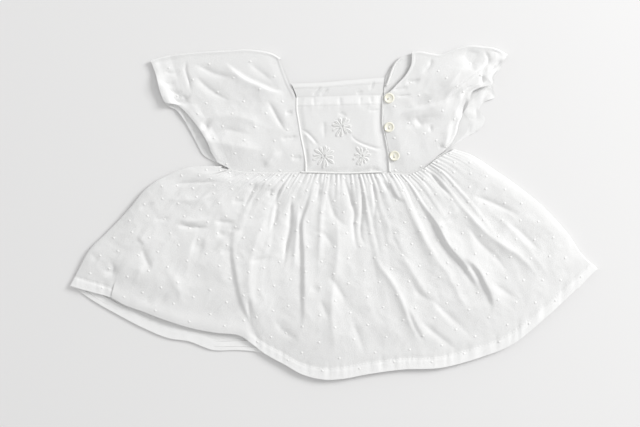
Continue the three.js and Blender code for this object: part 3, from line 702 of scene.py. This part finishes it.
piping_cotton = cotton("piping_cotton", (0.86, 0.86, 0.85), (0.86, 0.86, 0.85), 0.35)
PIPING_RADIUS = 1.0
piping_routes = {
    "left": part_of(smooth(seam_left), 0.02, 0.995),
    "right": part_of(smooth(seam_right), 0.02, 0.995),
    "waist": beside(foot, 1.2),
}
for name, route in piping_routes.items():
    places = route(np.linspace(0, 1, 60))
    heights = 3.2 + 0.25 * unevenness(places[:, 0], places[:, 1], 9, 81)
    path = np.column_stack([places, heights])
    cord = threads(f"piping_cord_{name}", [path], PIPING_RADIUS, piping_cotton)
    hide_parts(f"piping_{name}")
    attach(cord, "root")


# ---- Rolled and turned edges ----
# The waist's seam allowance fills the seam beside the yoke. The back hem's turning has two sewn
# edges inside, and the back's neck binding has rolled into view by the top button.
def level(places, height):
    return np.column_stack([places, np.full(len(places), height)])


SEAM_END = 0.03
beside_yoke = ((SEAM_END, FOOT_LEFT - 0.01), (FOOT_RIGHT + 0.01, 1 - SEAM_END))
seam_paths = [level(waist(np.linspace(first, last, 50)), 2.3) for first, last in beside_yoke]
turning = [part_of(beside(back_hem, inset), 0.03, 0.42) for inset in (4.0, 9.5)]
turning_paths = [level(line(np.linspace(0, 1, 70)), height) for line, height in zip(turning, (0.95, 1.05))]
binding = smooth([(53, 127), (55, 132), (58, 141), (62, 149), (68, 155)])
binding_path = level(binding(np.linspace(0, 1, 24)), 2.0)
rolled_edges = [
    ("waist_seam_allowance", seam_paths, 0.9),
    ("back_hem_inside_edge", turning_paths, 0.5),
    ("neck_roll_right", [binding_path], 1.1),
]
for name, paths, radius in rolled_edges:
    edge = threads(name, paths, radius, piping_cotton)
    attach(edge, "root")


# ---- The embroidered daisies ----
# Three daisies in white stranded cotton on the yoke. Each petal is two loops of thread, a short one
# inside a long one, and the middle has two rings of thread.
def on_panel(grid, x, y):
    """Height of a panel's outer face under points."""
    gx, gy, gz = grid.reshape(-1, 3).T
    near_by = np.argmin((gx[:, None] - x) ** 2 + (gy[:, None] - y) ** 2, 0)
    return gz[near_by]


embroidery = cotton("embroidery_cotton", (0.88, 0.88, 0.87), (0.88, 0.88, 0.87), 0.1)
daisies = [
    # name, centre, reach, petals, turn in degrees, narrowing across
    ("top", (8.5, 86), 10.5, 11, 8, 1.0),
    ("left", (-9.5, 56.5), 11.5, 12, 20, 1.0),
    ("right", (28.5, 56.5), 10, 11, 2, 0.86),
]
for name, centre, reach, petals, first, narrow in daisies:
    loops = []
    sweep = np.linspace(0, 2 * math.pi, 26, endpoint=False)
    dice = np.random.default_rng(len(name))
    for k in range(petals):
        angle = math.radians(first) + 2 * math.pi * k / petals + dice.uniform(-0.13, 0.13)
        length = reach * dice.uniform(0.78, 1.08)
        for scale, raised in ((1.0, 0.2), (0.55, 0.35)):
            out = 2.6 + (length - 2.6) * (0.5 - 0.5 * np.cos(sweep)) * (0.82 + 0.18 * scale)
            wide = 1.45 * scale * np.sin(sweep) * (0.35 + 0.65 * (0.5 - 0.5 * np.cos(sweep)))
            x = centre[0] + narrow * (out * math.cos(angle) - wide * math.sin(angle))
            y = centre[1] + out * math.sin(angle) + wide * math.cos(angle)
            loops.append(np.column_stack([x, y, on_panel(yoke_front_grid, x, y) + raised]))
    for ring, raised in ((1.5, 0.5), (2.3, 0.6)):
        x, y = centre[0] + narrow * ring * np.cos(sweep), centre[1] + ring * np.sin(sweep)
        loops.append(np.column_stack([x, y, on_panel(yoke_front_grid, x, y) + raised]))
    daisy = threads(f"daisy_{name}", loops, 0.36, embroidery, closed=True, roundness=1)
    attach(daisy, "root")


# ---- The buttons ----
# Three shirt buttons of polished cream shell, each with a raised rim and two holes, sewn down with
# a few turns of thread. The front edge has small thread loops beside them.
button_shell = bpy.data.materials.new("button_shell")
button_shell.use_nodes = True
polish = button_shell.node_tree.nodes["Principled BSDF"]
polish.inputs["Roughness"].default_value = 0.22
polish.inputs["Coat Weight"].default_value = 0.3
where = button_shell.node_tree.nodes.new("ShaderNodeTexCoord")
cloud = button_shell.node_tree.nodes.new("ShaderNodeTexNoise")
cloud.inputs["Scale"].default_value = 260
pearl = button_shell.node_tree.nodes.new("ShaderNodeValToRGB")
pearl.color_ramp.elements[0].color = (0.80, 0.77, 0.62, 1)
pearl.color_ramp.elements[1].color = (0.94, 0.93, 0.85, 1)
button_shell.node_tree.links.new(where.outputs["Object"], cloud.inputs["Vector"])
button_shell.node_tree.links.new(cloud.outputs["Fac"], pearl.inputs["Fac"])
button_shell.node_tree.links.new(pearl.outputs["Color"], polish.inputs["Base Color"])
BUTTON_PROFILE = [(0, 0), (4.2, 0), (4.9, 0.4), (5.1, 1.1), (4.95, 1.8), (4.5, 2.2), (4.0, 2.2), (3.6, 1.9),
                  (3.2, 1.65), (0, 1.55)]
HOLE_APART, HOLE_RADIUS = 3.2, 0.75


def lathed(name, profile, sides, middle):
    """A turned shape round an upright axis, closed on the axis at both ends."""
    ring = np.linspace(0, 2 * math.pi, sides, endpoint=False)
    verts = [(0, 0, profile[0][1])]
    for r, z in profile[1:-1]:
        verts += [(r * math.cos(a), r * math.sin(a), z) for a in ring]
    verts.append((0, 0, profile[-1][1]))
    last, levels = len(verts) - 1, len(profile) - 2
    faces = [(0, 1 + (k + 1) % sides, 1 + k) for k in range(sides)]
    for level in range(levels - 1):
        a, b = 1 + level * sides, 1 + (level + 1) * sides
        faces += [(a + k, a + (k + 1) % sides, b + (k + 1) % sides, b + k) for k in range(sides)]
    top = 1 + (levels - 1) * sides
    faces += [(top + k, top + (k + 1) % sides, last) for k in range(sides)]
    mesh = bpy.data.meshes.new(name)
    mesh.from_pydata((np.array(verts) * MM + np.array([*middle, 0]) * MM).tolist(), [], faces)
    made = bpy.data.objects.new(name, mesh)
    scene.collection.objects.link(made)
    return made


# name, centre and turn in degrees
buttons = [("top", (55.4, 114), 35), ("middle", (55.4, 85), 88), ("bottom", (60.8, 56.5), 70)]
for name, centre, turned in buttons:
    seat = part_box(f"button_{name}")[0][2] / MM
    disc = lathed(f"shell_button_{name}", [(r, z + seat) for r, z in BUTTON_PROFILE], 48, centre)
    disc.data.materials.append(button_shell)
    aim = np.array([math.cos(math.radians(turned)), math.sin(math.radians(turned))])
    cutters = []
    for sign in (-1, 1):
        hole = np.array(centre) + sign * aim * HOLE_APART / 2
        drill = [(0, seat - 1), (HOLE_RADIUS, seat - 1), (HOLE_RADIUS, seat + 4), (0, seat + 4)]
        cutters.append(lathed("hole", drill, 16, hole))
        pierce = disc.modifiers.new("hole", "BOOLEAN")
        pierce.operation = "DIFFERENCE"
        pierce.object = cutters[-1]
    pierced = bpy.data.meshes.new_from_object(disc.evaluated_get(bpy.context.evaluated_depsgraph_get()))
    disc.modifiers.clear()
    disc.data = pierced
    for cutter in cutters:
        bpy.data.objects.remove(cutter)
    pierced.shade_smooth()
    pierced.set_sharp_from_angle(angle=math.radians(40))
    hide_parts(f"button_{name}")
    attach(disc, "root")
    strands = []
    for offset in (-0.3, 0, 0.3):
        across = np.array([-aim[1], aim[0]]) * offset
        ends = [np.array(centre) + across + aim * d for d in (-HOLE_APART / 2, -1, 1, HOLE_APART / 2)]
        strands.append([(*e, seat + z) for e, z in zip(ends, (0.3, 1.95, 1.95, 0.3))])
    loop = smooth(np.array(centre) + [(-4.6, -2.2), (-5.4, -4.4), (-3.6, -5.6), (-1.2, -5.2)])
    strands.append([(*e, 4.1) for e in loop(np.linspace(0, 1, 14))])
    sewing = threads(f"button_thread_{name}", strands, 0.22, embroidery, roundness=1)
    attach(sewing, "root")


# ---- Woven dots and hem stitches ----
# The cotton has small raised dots woven in at even spacing, each row half a step along from the
# last. A row of running stitches holds the skirt's hem where it shows.
def repeated(name, places, across, up, size, mat):
    """A small rounded shape of the given size in millimetres at each place, lying along a direction."""
    across = across - up * np.sum(across * up, 1)[:, None]
    across /= np.linalg.norm(across, axis=1)[:, None]
    side = np.cross(up, across)
    mesh = bpy.data.meshes.new(name + "_places")
    mesh.from_pydata((places * MM).tolist(), [], [])
    turns = mesh.attributes.new("turn", "QUATERNION", "POINT")
    for k, axes in enumerate(np.stack([across, side, up], 2)):
        turns.data[k].value = Matrix(axes.tolist()).to_quaternion()
    made = bpy.data.objects.new(name, mesh)
    scene.collection.objects.link(made)
    tree = bpy.data.node_groups.new(name, "GeometryNodeTree")
    tree.interface.new_socket("Geometry", in_out="INPUT", socket_type="NodeSocketGeometry")
    size_input = tree.interface.new_socket("Size", in_out="INPUT", socket_type="NodeSocketVector")
    tree.interface.new_socket("Geometry", in_out="OUTPUT", socket_type="NodeSocketGeometry")
    add, link = tree.nodes.new, tree.links.new
    entry, leave = add("NodeGroupInput"), add("NodeGroupOutput")
    bead = add("GeometryNodeMeshUVSphere")
    bead.inputs["Segments"].default_value = 8
    bead.inputs["Rings"].default_value = 5
    bead.inputs["Radius"].default_value = 1
    flatten = add("GeometryNodeTransform")
    turn_name = add("GeometryNodeInputNamedAttribute")
    turn_name.data_type = "QUATERNION"
    turn_name.inputs["Name"].default_value = "turn"
    spread, real = add("GeometryNodeInstanceOnPoints"), add("GeometryNodeRealizeInstances")
    paint = add("GeometryNodeSetMaterial")
    paint.inputs["Material"].default_value = mat
    link(bead.outputs["Mesh"], flatten.inputs["Geometry"])
    link(entry.outputs["Size"], flatten.inputs["Scale"])
    link(entry.outputs["Geometry"], spread.inputs["Points"])
    link(flatten.outputs["Geometry"], spread.inputs["Instance"])
    link(turn_name.outputs["Attribute"], spread.inputs["Rotation"])
    link(spread.outputs["Instances"], real.inputs["Geometry"])
    link(real.outputs["Geometry"], paint.inputs["Geometry"])
    link(paint.outputs["Geometry"], leave.inputs["Geometry"])
    grow = made.modifiers.new("repeat", "NODES")
    grow.node_group = tree
    grow[size_input.identifier] = [n / 2 * MM for n in size]
    plain = bpy.data.meshes.new_from_object(made.evaluated_get(bpy.context.evaluated_depsgraph_get()))
    made.modifiers.clear()
    made.data = plain
    plain.shade_smooth()
    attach(made, "root")
    return made


def outer_face(grid):
    """Directions along the columns, and outwards, at each point of a grid."""
    along = np.gradient(grid, axis=0)
    up = np.cross(along, np.gradient(grid, axis=1))
    up /= np.linalg.norm(up, axis=2)[..., None]
    return along, up * np.sign(up[..., 2:3])


DOT_SIZE = (2.8, 2.2, 0.75)
DOT_ALONG, DOT_UP = 37, 24
FRONT_WIDTH, WRAP_WIDTH = 545, 45
dotted = {
    "skirt_front": (front_top, FRONT_WIDTH, SKIRT_LENGTH),
    "skirt_wrap": (np.stack(wrap_columns), WRAP_WIDTH, SKIRT_LENGTH),
    "sleeve_left": (sleeve_fronts["left"], 118, 108),
    "sleeve_right": (sleeve_fronts["right"], 100, 100),
}
dot_cotton = cotton("dot_cotton", (0.88, 0.88, 0.87), (0.88, 0.88, 0.87), 0.1)
for name, (grid, width, length) in dotted.items():
    along, up = outer_face(grid)
    columns, count = grid.shape[:2]
    chosen = []
    dice = np.random.default_rng(columns)
    for row, t in enumerate(np.arange(0.03, 0.97, DOT_UP / 2 / length)):
        for s in np.arange(0.35 + 0.5 * (row % 2), width / DOT_ALONG, 1.0):
            share = (s * DOT_ALONG / width + dice.uniform(-0.003, 0.003), t + dice.uniform(-0.006, 0.006))
            chosen.append((int(share[0] * (columns - 1)), int(np.clip(share[1], 0, 1) * (count - 1))))
    i, j = np.array([c for c in chosen if c[0] < columns]).T
    places = grid[i, j] + up[i, j] * 0.05
    repeated(f"woven_dots_{name}", places, along[i, j], up[i, j], DOT_SIZE, dot_cotton)

STITCH_SIZE, STITCH_STEP = (2.3, 0.5, 0.4), 3.2
stitch_rows = {
    "hem_front": (front_top, np.argmin(np.abs((1 - front_rows) * SKIRT_LENGTH - SKIRT_HEM)), FRONT_WIDTH),
    "hem_back": (np.stack(wrap_columns), np.argmin(np.abs(to_hem_row - SKIRT_HEM)), WRAP_WIDTH),
}
for name, (grid, row, width) in stitch_rows.items():
    along, up = outer_face(grid)
    i = np.unique(np.linspace(0, grid.shape[0] - 1, int(width / STITCH_STEP)).astype(int))
    if name == "hem_front":
        i = i[grid[i, row, 0] > TURNED_UNDER_FROM]
    places = grid[i, row] + up[i, row] * 0.1
    repeated(f"stitches_{name}", places, along[i, row], up[i, row], STITCH_SIZE, embroidery)


# ---- The surface, the lights and the camera ----
# A plain pale surface under the tunic, one broad lamp from the button side and soft light all round.
bpy.ops.mesh.primitive_plane_add(size=6, location=(0, 0, -0.0003))
floor = bpy.context.object
floor.name = "floor"
paper = bpy.data.materials.new("pale_surface")
paper.use_nodes = True
paper.node_tree.nodes["Principled BSDF"].inputs["Base Color"].default_value = (0.80, 0.797, 0.795, 1)
paper.node_tree.nodes["Principled BSDF"].inputs["Roughness"].default_value = 0.9
floor.data.materials.append(paper)


def lamp(name, place, size, power):
    data = bpy.data.lights.new(name, "AREA")
    data.size = size
    data.energy = power
    light = bpy.data.objects.new(name, data)
    light.location = place
    light.rotation_euler = (-Vector(place)).to_track_quat("-Z", "Y").to_euler()
    scene.collection.objects.link(light)


lamp("key", (2.3, 1.3, 1.35), 1.0, 70)
scene.world = bpy.data.worlds.new("room")
scene.world.use_nodes = True
scene.world.node_tree.nodes["Background"].inputs["Color"].default_value = (1, 1, 1, 1)
scene.world.node_tree.nodes["Background"].inputs["Strength"].default_value = 0.68

lens = bpy.data.cameras.new("camera")
lens.lens = 50
lens.sensor_width = 36
camera = bpy.data.objects.new("camera", lens)
camera.location = (-0.0136, -0.0011, 0.892)
scene.collection.objects.link(camera)
scene.camera = camera
scene.view_settings.view_transform = "Standard"
